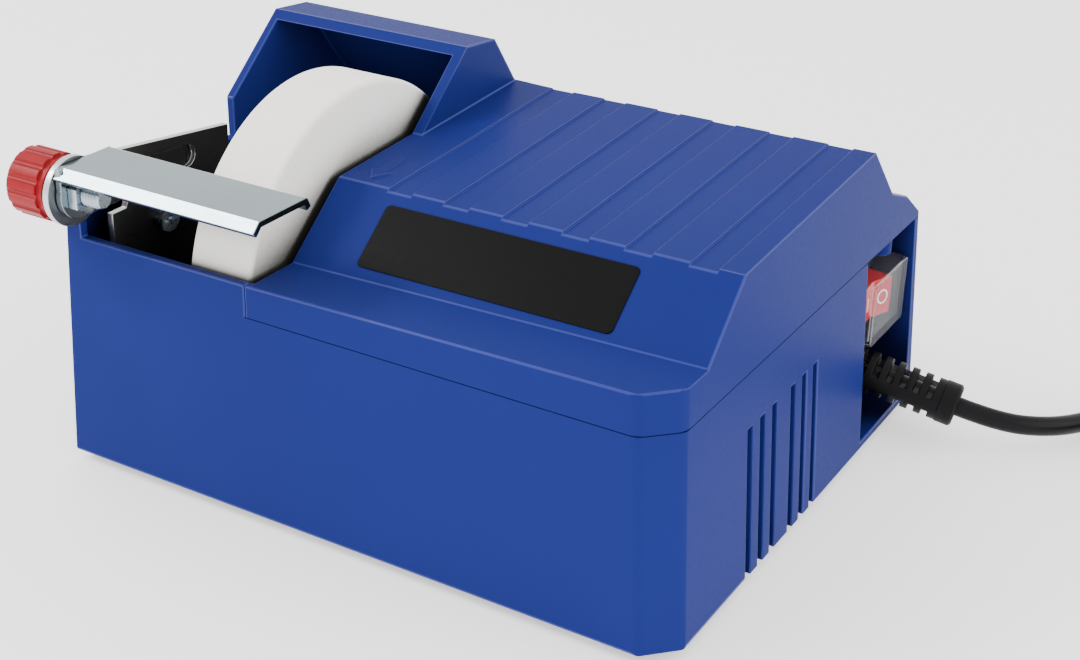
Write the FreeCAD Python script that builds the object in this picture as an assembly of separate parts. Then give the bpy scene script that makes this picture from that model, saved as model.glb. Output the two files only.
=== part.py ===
import FreeCAD, Part
import math
import os

V = FreeCAD.Vector
os.makedirs("parts", exist_ok=True)

# ---------------------------------------------------------------- driving dimensions (mm)
# Working frame: front bottom left corner of the housing, +X right, +Y back, +Z up, z = 0 at the housing's lower edge.
L, W = 188.71, 162.23            # housing footprint
DS, DF = 0.0621, 0.0212          # draft of the end walls and of the front and rear walls
CH_X, CH_Y = 8.3, 8.4            # bevelled front right corner
H_SEAM = 58.29                   # joint between base and cover
H_FRONT = 67.06                  # top of the trough's front wall
H_LEFT = 75.0                    # top of the left wall
Y_LEFT = 71.6                    # the raised left wall ends here
X_NOTCH = 64.58                  # the raised front wall ends here
X_PART = 65.76                   # trough face of the partition and of the cover's end wall
T_WALL = 2.6                     # wall thickness
T_FLOOR = 2.4                    # trough floor
TILT = 0.0062                    # the cover's top rises to the right
LEDGE_TILT = 0.0163              # the front ledge rises to the right
SLOPE_BOT = (19.60, 67.38)       # cover profile (y, z) at the opening
TOP_FRONT = (40.35, 84.10)
TOP_REAR = (123.50, 88.35)
REAR_BOT = (138.00, 72.00)
REAR_EDGE = (150.10, 67.30)
REAR_BEVEL = (158.60, 61.00)
HOOD_X0 = 0.45                   # hood
HOOD_X1 = 69.04
HOOD_T = 2.5
HOOD_FRONT_Y = 72.5
HOOD_FRONT_Z = 84.5
ROOF_F = (97.04, 105.30)
ROOF_R = (111.88, 103.95)
STRIP_X0, STRIP_PITCH, STRIP_W, STRIP_D = 82.01, 17.43, 7.33, 0.55
LABEL_X0, LABEL_X1, LABEL_Y0, LABEL_Y1 = 84.2, 158.2, 22.2, 36.8
STONE_R, STONE_BORE = 50.0, 16.0
STONE_X0, STONE_X1 = 43.0, 63.0
AY, AZ = 54.42, 54.79            # stone axis
STUD_Y, STUD_Z = -3.4, 83.0      # clamp stud axis
BR_X0, BR_X1 = 12.0, 14.0        # slotted bracket
REST_T = 1.8
REST_X0, REST_X1, REST_TOP = 14.3, 79.1, 91.3
KNOB_R, KNOB_X0, KNOB_X1 = 9.2, -2.3, 10.7
POCKET_X, POCKET_Y = 170.5, 121.0
SW_Y, SW_Z = 142.5, 37.5
FOOT_H = 3.0
GAP = 0.3
MOD, PRESS = 1.0, math.radians(25.0)
Z_OUT, Z_INT, Z_INTP, Z_MOT = 47, 40, 14, 12
IY, IZ = 82.72, 43.47            # intermediate axis
MY, MZ = 107.71, 36.31           # motor axis
D_CORD = 5.8
# lead: from the strain relief to the floor and into the coil; tail: from the coil to the plug
LEAD = [(208.70, 144.40, 9.40), (220.80, 146.10, 6.90), (232.70, 153.30, 5.40), (241.00, 165.30, 3.90),
        (246.00, 180.30, 2.40), (255.60, 194.10, 1.20), (269.80, 203.90, 1.05), (286.50, 211.50, 1.10)]
COIL_C = (303.90, 173.30)
COIL_RADII = (24.6, 30.4, 36.2, 42.0)
COIL_Z0 = -1.8
TAIL = [(345.70, 169.60, 6.90), (344.40, 154.60, 6.60), (344.10, 139.40, 4.90), (344.60, 124.40, 3.85)]
SR_A = (170.50, 139.20, 17.20)   # strain relief axis: wall to collar end

# origin: middle of the object's box, on the surface it stands on
SHIFT = V(-(KNOB_X0 + L) / 2.0, -(STUD_Y - 9.4 + W) / 2.0, FOOT_H)

parts = {}


# ---------------------------------------------------------------- helpers
def box(x0, x1, y0, y1, z0, z1):
    return Part.makeBox(x1 - x0, y1 - y0, z1 - z0, V(x0, y0, z0))


def cyl_x(y, z, r, x0, x1):
    return Part.makeCylinder(r, x1 - x0, V(x0, y, z), V(1, 0, 0))


def cyl_y(x, z, r, y0, y1):
    return Part.makeCylinder(r, y1 - y0, V(x, y0, z), V(0, 1, 0))


def cyl_z(x, y, r, z0, z1):
    return Part.makeCylinder(r, z1 - z0, V(x, y, z0), V(0, 0, 1))


def prism_x(pts, x0, x1, rise=0.0):
    w = Part.makePolygon([V(x0, p[0], p[1]) for p in pts] + [V(x0, pts[0][0], pts[0][1])])
    return Part.Face(w).extrude(V(x1 - x0, 0, rise * (x1 - x0)))


def prism_z(pts, z0, z1):
    w = Part.makePolygon([V(p[0], p[1], z0) for p in pts] + [V(pts[0][0], pts[0][1], z0)])
    return Part.Face(w).extrude(V(0, 0, z1 - z0))


def loft(pa, za, pb, zb):
    a = [V(p[0], p[1], za) for p in pa]
    b = [V(p[0], p[1], zb) for p in pb]
    n = len(a)
    faces = [Part.Face(Part.makePolygon(a + [a[0]])), Part.Face(Part.makePolygon(b + [b[0]]))]
    for i in range(n):
        j = (i + 1) % n
        faces.append(Part.Face(Part.makePolygon([a[i], a[j], b[j], b[i], a[i]])))
    s = Part.makeSolid(Part.makeShell(faces))
    if s.Volume < 0:
        s.reverse()
    return s


def inset(poly, t):
    n = len(poly)
    lines = []
    for i in range(n):
        p, q = poly[i], poly[(i + 1) % n]
        dx, dy = q[0] - p[0], q[1] - p[1]
        ln = math.hypot(dx, dy)
        nx, ny = -dy / ln, dx / ln
        lines.append((p[0] + nx * t, p[1] + ny * t, dx / ln, dy / ln))
    out = []
    for i in range(n):
        x1, y1, a1, b1 = lines[i - 1]
        x2, y2, a2, b2 = lines[i]
        det = a1 * (-b2) + a2 * b1
        s = ((x2 - x1) * (-b2) + a2 * (y2 - y1)) / det
        out.append((x1 + s * a1, y1 + s * b1))
    return out


def outline(z, t=0.0):
    p = [(DS * z, DF * z), (L - CH_X - DS * z, DF * z), (L - DS * z, CH_Y + DF * z),
         (L - DS * z, W - DF * z), (DS * z, W - DF * z)]
    return inset(p, t) if t else p


def envelope(z0, z1, t=0.0):
    return loft(outline(z0, t), z0, outline(z1, t), z1)


def fuse(*shapes):
    s = shapes[0]
    if len(shapes) > 1:
        s = s.multiFuse(list(shapes[1:]))
    return s.removeSplitter()


def cut(s, *tools):
    r = s.cut(list(tools))
    return r.removeSplitter()


def keep(name, shape):
    parts[name] = shape


def hexagon(af):
    r = af / math.sqrt(3.0)
    return [(r * math.cos(math.radians(60 * i + 30)), r * math.sin(math.radians(60 * i + 30))) for i in range(6)]


def revolve_x(prof, y, z):
    w = Part.makePolygon([V(p[0], y, z + p[1]) for p in prof] + [V(prof[0][0], y, z + prof[0][1])])
    return Part.Face(w).revolve(V(0, y, z), V(1, 0, 0), 360)


def gear(n, y, z, x0, x1, phase, bore, backlash=0.3):
    rp = MOD * n / 2.0
    rb = rp * math.cos(PRESS)
    ra, rf = rp + 0.8 * MOD, rp - 1.15 * MOD
    half = math.pi / (2 * n) - backlash / (2.0 * 2.0 * rp)
    inv = math.tan(PRESS) - PRESS
    r0 = max(rb, rf)
    radii = [r0 + (ra - r0) * k / 3.0 for k in range(4)]
    flank = []
    for r in radii:
        a = math.acos(min(1.0, rb / r))
        flank.append((r, half + inv - (math.tan(a) - a)))
    pts = []
    for k in range(n):
        c = phase + 2 * math.pi * k / n
        if rf < r0:
            pts.append((rf, c - flank[0][1]))
        for r, h in flank:
            pts.append((r, c - h))
        for r, h in reversed(flank):
            pts.append((r, c + h))
        if rf < r0:
            pts.append((rf, c + flank[0][1]))
    s = prism_x([(y + r * math.cos(a), z + r * math.sin(a)) for r, a in pts], x0, x1)
    return s.cut(cyl_x(y, z, bore / 2.0, x0 - 1, x1 + 1))


def tube(points, r, name):
    p = [V(*q) for q in points]
    edges = []
    prev = p[0]
    radii = []
    for i in range(1, len(p) - 1):
        a, b = p[i] - p[i - 1], p[i + 1] - p[i]
        la, lb = a.Length, b.Length
        a, b = a * (1.0 / la), b * (1.0 / lb)
        th = math.acos(max(-1.0, min(1.0, a.dot(b))))
        d = 0.45 * min(la, lb)
        rad = d / math.tan(th / 2.0)
        radii.append(rad)
        s, e = p[i] - a * d, p[i] + b * d
        m = b - a
        m = m * (1.0 / m.Length)
        mid = p[i] + m * (rad / math.cos(th / 2.0) - rad)
        edges.append(Part.LineSegment(prev, s).toShape())
        edges.append(Part.Arc(s, mid, e).toShape())
        prev = e
    edges.append(Part.LineSegment(prev, p[-1]).toShape())
    wire = Part.Wire(edges)
    d0 = p[1] - p[0]
    prof = Part.Wire(Part.Circle(p[0], d0, r).toShape())
    s = wire.makePipeShell([prof], True, False)
    expect = math.pi * r * r * wire.Length
    print(name, "length %.1f" % wire.Length, "radii", ["%.1f" % q for q in radii],
          "volume %.1f expected %.1f" % (s.Volume, expect))
    return s


def place(shape, origin, direction):
    # a shape built along +X from the origin is laid along a direction
    d = V(*direction)
    s = shape.copy()
    s.Placement = FreeCAD.Placement(V(*origin), FreeCAD.Rotation(V(1, 0, 0), d))
    return s


# ---------------------------------------------------------------- base housing
shell = envelope(0, H_SEAM)
rim = envelope(H_SEAM - 0.5, H_LEFT).cut(envelope(H_SEAM - 1, H_LEFT + 1, T_WALL))
front_rim = rim.common(box(-5, X_NOTCH, -5, DF * H_FRONT + T_WALL + 0.6, H_SEAM - 0.5, H_FRONT))
left_rim = rim.common(box(-5, 9.5, -5, Y_LEFT, H_SEAM - 0.5, H_LEFT))
trough = envelope(T_FLOOR, 80, T_WALL).common(box(0, X_PART, -5, 200, T_FLOOR, 80))
motor_bay = envelope(-1, 80, T_WALL).common(box(X_PART + T_WALL, 200, -5, 200, -1, 80))
motor_bay = motor_bay.cut(box(POCKET_X - T_WALL, 200, POCKET_Y - T_WALL, 200, -5, 90))
pocket = box(POCKET_X, 200, POCKET_Y, W - DF * H_SEAM - T_WALL, T_FLOOR, H_SEAM - T_FLOOR)
over_pocket = box(L - DS * H_SEAM - 2.4, 200, POCKET_Y, W - DF * H_SEAM - T_WALL, T_FLOOR, H_SEAM + 1)
base = shell.multiFuse([front_rim, left_rim])
base = base.cut([trough, motor_bay, pocket, over_pocket])
adds = [cyl_x(AY, AZ, 27.0, X_PART, 72.2)]
for y, z in ((30, 20), (30, 50), (130, 20), (130, 50)):
    adds.append(cyl_x(y, z, 4.0, X_PART + 1, 73.0))
for x, y in ((75.0, 5.9), (165.0, 5.9), (75.0, 156.3), (161.0, 156.3)):
    adds.append(cyl_z(x, y, 3.6, 3.1, 40.0))
adds.append(cyl_z(10.0, 148.5, 4.2, 1.0, H_SEAM))
adds.append(cyl_z(178.6, 147.0, 3.8, 50.6, H_SEAM))
for y, z in ((28.6, 64.5), (48.0, 50.0)):
    adds.append(cyl_x(y, z, 4.5, DS * z + 1.2, BR_X0))
for x in (92.0, 122.0, 152.0):
    adds.append(box(x, x + 1.6, 1.5, 7.0, 5.0, 46.0))
    adds.append(box(x, x + 1.6, W - 7.0, W - 2.5, 5.0, 46.0))
base = base.multiFuse(adds)
cuts = [cyl_x(AY, AZ, 23.0, X_PART - 1, 69.0), cyl_x(AY, AZ, 12.0, 68.9, 71.0), cyl_x(AY, AZ, 6.2, 70.9, 73.0)]
for yc in (44.5, 51.9, 59.2, 70.8, 78.1, 85.3):
    cuts.append(box(180.0, 195.0, yc - 1.45, yc + 1.45, -1, 43.0))
for y, z in ((30, 20), (30, 50), (130, 20), (130, 50)):
    cuts.append(cyl_x(y, z, 1.5, 67.5, 73.1))
for x, y in ((75.0, 5.9), (165.0, 5.9), (75.0, 156.3), (161.0, 156.3)):
    cuts.append(cyl_z(x, y, 1.5, 3.0, 16.0))
cuts.append(cyl_z(10.0, 148.5, 1.6, 40.0, H_SEAM + 1))
cuts.append(cyl_z(178.6, 147.0, 1.6, 51.6, H_SEAM + 1))
for y, z in ((28.6, 64.5), (48.0, 50.0)):
    cuts.append(cyl_x(y, z, 2.0, DS * z + 2.4, BR_X0 + 0.1))
cuts.append(cyl_x(STUD_Y + 2.5, STUD_Z - 0.22, KNOB_R + 0.3, -5.0, KNOB_X1 + 0.3))
cuts.append(box(POCKET_X - 4, POCKET_X + 1, SW_Y - 9.6, SW_Y + 9.6, SW_Z - 7.1, SW_Z + 7.1))
sr_dir = V(*LEAD[0]) - V(*SR_A)
sr_dir.normalize()
cuts.append(Part.makeCylinder(5.2, 9.0, V(*SR_A) - sr_dir * 5.5, sr_dir))
base = cut(base, *cuts)
keep("base_housing", base)

# ---------------------------------------------------------------- top cover
ledge = prism_x([(-5, 50), (90, 50), (90, H_FRONT), (-5, H_FRONT)], X_NOTCH + 0.15, 200, LEDGE_TILT)
ledge_in = prism_x([(-5, 40), (90, 40), (90, H_FRONT - T_WALL), (-5, H_FRONT - T_WALL)], X_NOTCH + 0.15, 200, LEDGE_TILT)


def on_line(a, b, z):
    return (a[0] + (b[0] - a[0]) * (z - a[1]) / (b[1] - a[1]), z)


ridge_p = [on_line(SLOPE_BOT, TOP_FRONT, 50.0), on_line(TOP_REAR, REAR_BOT, 50.0), TOP_REAR, TOP_FRONT]
rear_p = [(100.0, 50.0), on_line(REAR_EDGE, REAR_BEVEL, 50.0), REAR_EDGE, REAR_BOT, (100.0, REAR_BOT[1])]
ridge = prism_x(ridge_p, X_PART, 200, TILT)
ridge_in = prism_x(inset(ridge_p, T_WALL), X_PART, 200, TILT)
rear = prism_x(rear_p, X_PART, 200, TILT)
rear_in = prism_x(inset(rear_p, T_WALL), X_PART, 200, TILT)
env = envelope(H_SEAM, 112)
env_in = envelope(H_SEAM - 1, 112, T_WALL)
right_of = box(X_PART, 220, -20, 220, 0, 130)
bay_of = box(X_PART + T_WALL, 220, -20, 220, 0, 130)
body = env.common(ledge.multiFuse([ridge, rear]))
hollow = env_in.common(ledge_in.multiFuse([ridge_in, rear_in])).common(bay_of)
body = body.common(right_of.fuse(box(X_NOTCH + 0.15, X_PART + 1, -5, DF * H_FRONT + T_WALL, H_SEAM, 80)))
grooves = []
for i in range(6):
    gx = STRIP_X0 + STRIP_PITCH * i
    zt = TILT * (gx - X_PART)
    top_z = [(y, z) for y, z in ((TOP_FRONT[0], TOP_FRONT[1] + zt), (TOP_REAR[0], TOP_REAR[1] + zt))]
    sl = (top_z[1][1] - top_z[0][1]) / (top_z[1][0] - top_z[0][0])
    y0, y1 = 20.0, 145.0
    za = top_z[0][1] + sl * (y0 - top_z[0][0]) - STRIP_D
    zb = top_z[0][1] + sl * (y1 - top_z[0][0]) - STRIP_D
    grooves.append(prism_x([(y0, za), (y1, zb), (y1, zb + 8), (y0, za + 8)], gx, gx + STRIP_W, TILT))
body = body.cut(hollow).cut(grooves)

rear_limit = prism_x([(-20, 40), (W - DF * 40, 40), (W - DF * 125, 125), (-20, 125)], -10, 120)
hood_p = [(HOOD_FRONT_Y, H_SEAM), (HOOD_FRONT_Y, HOOD_FRONT_Z), ROOF_F, ROOF_R, TOP_REAR, REAR_BOT, REAR_EDGE,
          REAR_BEVEL, (166.0, 55.5), (166.0, H_SEAM)]
hood_p = [(HOOD_FRONT_Y, H_SEAM), (HOOD_FRONT_Y, HOOD_FRONT_Z), ROOF_F, ROOF_R, TOP_REAR, REAR_BOT, REAR_EDGE,
          on_line(REAR_EDGE, REAR_BEVEL, H_SEAM)]
hood = prism_x(hood_p, HOOD_X0, HOOD_X1).common(rear_limit)
hx1 = X_PART
hood_in_p = [(40, 40), (158.6, 40), (W - DF * 57 - T_WALL, 57.0), (157.0, 58.9), (149.0, 64.9), (136.2, 70.2), (121.4, 86.9),
             (110.5, 101.6), (96.6, 102.85), (40, 102.85)]
hood_in = prism_x(hood_in_p, HOOD_X0 + 2.7, hx1)
lap = box(HOOD_X0, HOOD_X0 + 2.7, HOOD_FRONT_Y, W - DF * 54 - 0.4, 53.8, H_SEAM + 1).cut(envelope(50, 62).copy())
hood_right = prism_x([(60, 50), (60, 110), (130, 110), (130, 50)], HOOD_X1 - 0.5, HOOD_X1 + 2)
hood = hood.fuse(lap).cut(hood_in)
body = body.multiFuse([hood])
# keep the hood's right wall from filling the motor bay
under = env_in.common(ledge_in.multiFuse([ridge_in, rear_in])).common(box(X_PART + T_WALL, HOOD_X1 + 0.5, -20, 220, 0, 130))
body = body.cut(under)
# the end wall stands back from the cover's edge and laps behind the partition
END_X0, END_X1 = 68.6, 71.0
inner = env_in.common(ledge_in.multiFuse([ridge_in, rear_in]))
body = body.cut(inner.common(box(X_PART - 1, END_X0, -20, 220, 0, 130)))
end_wall = inner.common(box(END_X0, END_X1, -20, 220, H_SEAM, 130))
lip = envelope(54.8, H_SEAM + 0.5, T_WALL + 0.35).common(box(END_X0, END_X1, -20, 220, 50, 70))
body = body.multiFuse([end_wall, lip])
adds = [box(POCKET_X - T_WALL, L - DS * 62 - 1.0, POCKET_Y - T_WALL, W - DF * 60 - 1.2, H_SEAM + 0.2, H_SEAM + 2.4)]
adds.append(cyl_z(178.6, 147.0, 4.8, H_SEAM + 0.2, 67.0))
adds.append(cyl_z(10.0, 148.5, 4.8, H_SEAM + 0.2, 65.0))
adds.append(box(8.0, 12.0, 146.0, 158.0, H_SEAM + 0.2, 61.0))
for x in (92.0, 150.0):
    adds.append(box(x, x + 14.0, DF * 58 + T_WALL + 0.35, DF * 58 + T_WALL + 2.2, 53.5, 63.0))
    adds.append(box(x, x + 14.0, DF * 60 + 1.0, DF * 58 + T_WALL + 2.2, 59.0, 63.0))
body = body.multiFuse(adds)
# plain direction arrow, raised on the top surface
ar = []
az = TOP_FRONT[1] + TILT * (74 - X_PART)
sl = (TOP_REAR[1] - TOP_FRONT[1]) / (TOP_REAR[0] - TOP_FRONT[0])
arrow = prism_z([(74.0, 43.2), (77.0, 48.2), (75.0, 48.2), (75.0, 57.8), (73.0, 57.8), (73.0, 48.2), (71.0, 48.2)], az - 1.0, az + 3.0)
cap = prism_x([(40, az - 1.0), (62, az - 1.0), (62, az + sl * (62 - TOP_FRONT[0]) + 0.45), (40, az + sl * (40 - TOP_FRONT[0]) + 0.45)], 68, 80)
body = body.fuse(arrow.common(cap))
cuts = [cyl_x(AY, AZ, 27.3, X_PART - 1, 72.6)]
for x, y in ((178.6, 147.0), (10.0, 148.5)):
    cuts.append(cyl_z(x, y, 3.4, 63.0, 90.0))
    cuts.append(cyl_z(x, y, 1.9, H_SEAM - 1, 64.0))
cover = cut(body, *cuts)
keep("top_cover", cover)

# ---------------------------------------------------------------- bare label plate on the slope
ex = V(1, 0, TILT)
es = V(0, TOP_FRONT[0] - SLOPE_BOT[0], TOP_FRONT[1] - SLOPE_BOT[1])
ex.normalize()
es.normalize()
nn = ex.cross(es)
nn.normalize()
k = (TOP_FRONT[1] - SLOPE_BOT[1]) / (TOP_FRONT[0] - SLOPE_BOT[0])
o = V(LABEL_X0, LABEL_Y0, SLOPE_BOT[1] + k * (LABEL_Y0 - SLOPE_BOT[0]) + TILT * (LABEL_X0 - X_PART))
ll = LABEL_X1 - LABEL_X0
lw = (LABEL_Y1 - LABEL_Y0) / es.y
c4 = [o, o + ex * ll, o + ex * ll + es * lw, o + es * lw]
label = Part.Face(Part.makePolygon(c4 + [c4[0]])).extrude(nn * 0.3)
le = [e for e in label.Edges if e.Length < 0.5]
label = label.makeFillet(1.6, le)
keep("label_plate", label)

# ---------------------------------------------------------------- bottom plate, screws, feet
plate = envelope(1.0, 3.0, T_WALL + 0.35).common(box(X_PART + T_WALL + 0.35, 220, -5, 220, 0, 10))
plate = plate.cut(box(POCKET_X - T_WALL - 0.35, 220, POCKET_Y - T_WALL - 0.35, 220, -1, 10))
holes = [cyl_z(x, y, 1.7, 0, 5) for x, y in ((75.0, 5.9), (165.0, 5.9), (75.0, 156.3), (161.0, 156.3))]
for i in range(8):
    holes.append(box(96.0 + 8 * i, 99.0 + 8 * i, 58.0, 100.0, 0, 5))
keep("bottom_plate", cut(plate, *holes))


def screw_z(x, y, z_head, length, r_head, r, down):
    s = -1.0 if down else 1.0
    h = Part.makeCylinder(r_head, 1.8, V(x, y, z_head), V(0, 0, -s))
    t = Part.makeCylinder(r, length, V(x, y, z_head), V(0, 0, s))
    slot = Part.makeBox(0.7, 2.6 * r, 1.0, V(x - 0.35, y - 1.3 * r, z_head - s * 1.8 - (1.0 if s < 0 else 0.0)))
    slot2 = Part.makeBox(2.6 * r, 0.7, 1.0, V(x - 1.3 * r, y - 0.35, z_head - s * 1.8 - (1.0 if s < 0 else 0.0)))
    return h.fuse(t).cut([slot, slot2]).removeSplitter()


base_screws = [screw_z(x, y, 1.0, 11.0, 2.8, 1.5, False) for x, y in ((75.0, 5.9), (165.0, 5.9), (75.0, 156.3), (161.0, 156.3))]
keep("base_screws", Part.makeCompound(base_screws))
cover_screws = [screw_z(x, y, 63.0, 10.0, 3.0, 1.6, True) for x, y in ((178.6, 147.0), (10.0, 148.5))]
keep("cover_screws", Part.makeCompound(cover_screws))
feet = []
for x, y, top in ((15.0, 15.0, 0.0), (15.0, 147.0, 0.0), (168.0, 30.0, 1.0), (150.0, 146.0, 1.0)):
    f = Part.makeCone(6.4, 7.2, top + FOOT_H, V(x, y, -FOOT_H), V(0, 0, 1))
    feet.append(f.cut(cyl_z(x, y, 2.2, -FOOT_H - 1, -FOOT_H + 1.6)))
keep("rubber_feet", Part.makeCompound(feet))

# ---------------------------------------------------------------- stone and its spindle
b = 1.5
arc = [(b * (1 - math.cos(math.radians(q))), b * (1 - math.sin(math.radians(q)))) for q in (0, 22.5, 45, 67.5, 90)]
prof = [(STONE_X0, STONE_BORE / 2), (STONE_X1, STONE_BORE / 2)]
prof += [(STONE_X1 - u, STONE_R - w) for u, w in arc] + [(STONE_X0 + u, STONE_R - w) for u, w in reversed(arc)]
keep("grinding_stone", revolve_x(prof, AY, AZ))
spigot = fuse(cyl_x(AY, AZ, 20.0, STONE_X1, 66.9), cyl_x(AY, AZ, 8.0, STONE_X0 + 1.3, STONE_X1 + 0.1))
keep("stone_flange_inner", cut(spigot, cyl_x(AY, AZ, 5.0, 40, 70)))
keep("stone_flange_outer", cut(fuse(cyl_x(AY, AZ, 20.0, STONE_X0 - 3.0, STONE_X0), cyl_x(AY, AZ, 11.0, STONE_X0 - 4.0, STONE_X0 - 2.9)), cyl_x(AY, AZ, 5.0, 30, 70)))
nut = prism_x([(AY + a, AZ + c) for a, c in hexagon(17.0)], STONE_X0 - 9.3, STONE_X0 - 4.0)
keep("stone_nut", cut(nut, cyl_x(AY, AZ, 5.0, 30, 45)))
shaft = cyl_x(AY, AZ, 5.0, STONE_X0 - 10.7, 101.0)
shaft = shaft.makeChamfer(0.8, [e for e in shaft.Edges if e.Length < 32 and abs(e.Length - 2 * math.pi * 5) < 0.1])
keep("drive_shaft", shaft)
keep("shaft_seal", cut(cyl_x(AY, AZ, 12.0, 69.0, 71.0), cyl_x(AY, AZ, 5.05, 60, 80)))
keep("shaft_bushes", Part.makeCompound([
    cut(fuse(cyl_x(AY, AZ, 8.0, 73.0, 76.0), cyl_x(AY, AZ, 10.0, 76.0, 77.4)), cyl_x(AY, AZ, 5.04, 60, 90)),
    cut(fuse(cyl_x(AY, AZ, 8.0, 97.0, 100.0), cyl_x(AY, AZ, 10.0, 95.6, 97.0)), cyl_x(AY, AZ, 5.04, 90, 110))]))

# ---------------------------------------------------------------- gear train
dir_oi = math.atan2(IZ - AZ, IY - AY)
dir_im = math.atan2(MZ - IZ, MY - IY)
keep("output_gear", gear(Z_OUT, AY, AZ, 80.0, 88.0, dir_oi, 10.0))
pin14 = gear(Z_INTP, IY, IZ, 79.2, 88.8, dir_oi + math.pi + math.pi / Z_INTP, 5.0)
keep("intermediate_pinion", pin14)
keep("intermediate_gear", gear(Z_INT, IY, IZ, 90.0, 95.0, dir_im, 5.0))
keep("intermediate_shaft", cyl_x(IY, IZ, 2.5, 73.0, 100.0))
keep("motor_pinion", gear(Z_MOT, MY, MZ, 89.2, 95.6, dir_im + math.pi + math.pi / Z_MOT, 6.0))
gp = [(22, 12), (138, 12), (138, 58), (122, 70), (34, 70), (22, 58)]
pf = prism_x(gp, 73.0, 76.0)
pr = prism_x(gp, 97.0, 100.0)
fh = [cyl_x(AY, AZ, 8.0, 70, 80), cyl_x(IY, IZ, 2.55, 70, 80)]
for y, z in ((30, 20), (30, 50), (130, 20), (130, 50)):
    fh.append(cyl_x(y, z, 1.7, 70, 80))
rh = [cyl_x(AY, AZ, 8.0, 90, 110), cyl_x(IY, IZ, 2.55, 90, 110), cyl_x(MY, MZ, 6.0, 90, 110)]
for sy in (-25.5, 25.5):
    for sz in (-21.0, 25.5):
        rh.append(cyl_x(MY + sy, MZ + sz, 2.0, 90, 110))
keep("gearbox_plate_front", cut(pf, *fh))
keep("gearbox_plate_rear", cut(pr, *rh))
keep("gearbox_pillars", Part.makeCompound([cyl_x(y, z, 4.0, 76.0, 97.0) for y, z in ((27.5, 30.0), (132.5, 35.0), (112.0, 64.5))]))


def screw_x(y, z, x_head, length, r_head, r, sign, head=2.0):
    h = Part.makeCylinder(r_head, head, V(x_head, y, z), V(-sign, 0, 0))
    t = Part.makeCylinder(r, length, V(x_head, y, z), V(sign, 0, 0))
    return h.fuse(t).removeSplitter()


keep("gearbox_screws", Part.makeCompound([screw_x(y, z, 76.0, 8.0, 2.8, 1.5, -1.0) for y, z in ((30, 20), (30, 50), (130, 20), (130, 50))]))

# ---------------------------------------------------------------- motor
st = box(112.0, 142.0, MY - 30, MY + 30, MZ - 25.5, MZ + 30)
hs = [cyl_x(MY, MZ, 15.0, 100, 150)]
for a in range(12):
    t = math.radians(30 * a + 15)
    hs.append(cyl_x(MY + 18.6 * math.cos(t), MZ + 18.6 * math.sin(t), 2.6, 100, 150))
for sy in (-25.5, 25.5):
    for sz in (-21.0, 25.5):
        hs.append(cyl_x(MY + sy, MZ + sz, 2.1, 100, 150))
keep("motor_stator", cut(st, *hs))
coil_a = cyl_x(MY, MZ, 22.5, 104.0, 111.9).cut(cyl_x(MY, MZ, 16.2, 100, 120))
coil_b = cyl_x(MY, MZ, 22.5, 142.1, 150.0).cut(cyl_x(MY, MZ, 16.2, 140, 160))
keep("motor_windings", Part.makeCompound([coil_a, coil_b]))
keep("motor_rotor", cyl_x(MY, MZ, 14.7, 110.0, 144.0).cut(cyl_x(MY, MZ, 3.0, 100, 150)))
keep("motor_shaft", cyl_x(MY, MZ, 3.0, 88.6, 167.0))
keep("motor_bearings", Part.makeCompound([
    cyl_x(MY, MZ, 6.0, 96.6, 101.6).cut(cyl_x(MY, MZ, 3.04, 90, 110)),
    cyl_x(MY, MZ, 6.0, 151.6, 156.6).cut(cyl_x(MY, MZ, 3.04, 140, 160))]))
shield = prism_x([(MY - 30, MZ - 25.5), (MY - 18, MZ - 25.5), (MY - 8, MZ - 10), (MY + 8, MZ - 10), (MY + 18, MZ - 25.5), (MY + 30, MZ - 25.5),
                  (MY + 30, MZ + 30), (MY + 18, MZ + 30), (MY + 8, MZ + 12), (MY - 8, MZ + 12), (MY - 18, MZ + 30), (MY - 30, MZ + 30)], 152.0, 156.0)
sh = [cyl_x(MY, MZ, 6.0, 150, 160)]
bolts, spacers = [], []
for sy in (-25.5, 25.5):
    for sz in (-21.0, 25.5):
        sh.append(cyl_x(MY + sy, MZ + sz, 2.0, 150, 160))
        bolts.append(screw_x(MY + sy, MZ + sz, 156.0, 59.0, 3.6, 2.0, -1.0, 2.4))
        for xa, xb in ((100.0, 112.0), (142.0, 152.0)):
            spacers.append(cyl_x(MY + sy, MZ + sz, 3.8, xa, xb).cut(cyl_x(MY + sy, MZ + sz, 2.0, xa - 1, xb + 1)))
keep("motor_end_shield", cut(shield, *sh))
keep("motor_bolts", Part.makeCompound(bolts))
keep("motor_spacers", Part.makeCompound(spacers))
hub = cyl_x(MY, MZ, 6.5, 158.5, 166.5)
blades = []
for a in range(7):
    bl = box(158.8, 165.8, MY + 5.5, MY + 22.5, MZ - 0.7, MZ + 0.7)
    bl.rotate(V(0, MY, MZ), V(1, 0, 0), a * 360.0 / 7)
    blades.append(bl)
fan = hub.multiFuse(blades + [cyl_x(MY, MZ, 22.5, 158.5, 159.7)])
keep("cooling_fan", cut(fan, cyl_x(MY, MZ, 3.0, 150, 170)))

# ---------------------------------------------------------------- wiring inside
tb = box(104.0, 130.0, 141.5, 153.5, 3.0, 15.0)
keep("terminal_block", cut(tb, *[cyl_z(108.5 + 8.5 * i, 147.5, 2.2, 10.0, 16.0) for i in range(3)]))
lead_1 = tube([(161.8, 138.0, 19.1), (153.0, 141.0, 15.6), (143.5, 143.6, 12.0), (130.6, 145.2, 10.1)], 1.3, "inner lead 1")
lead_2 = tube([(151.4, 145.7, 37.5), (144.0, 146.6, 34.6), (138.0, 147.8, 27.0), (135.0, 148.8, 18.0), (131.2, 149.5, 10.6)], 1.3, "inner lead 2")
keep("inner_leads", Part.makeCompound([lead_1, lead_2]))

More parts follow.
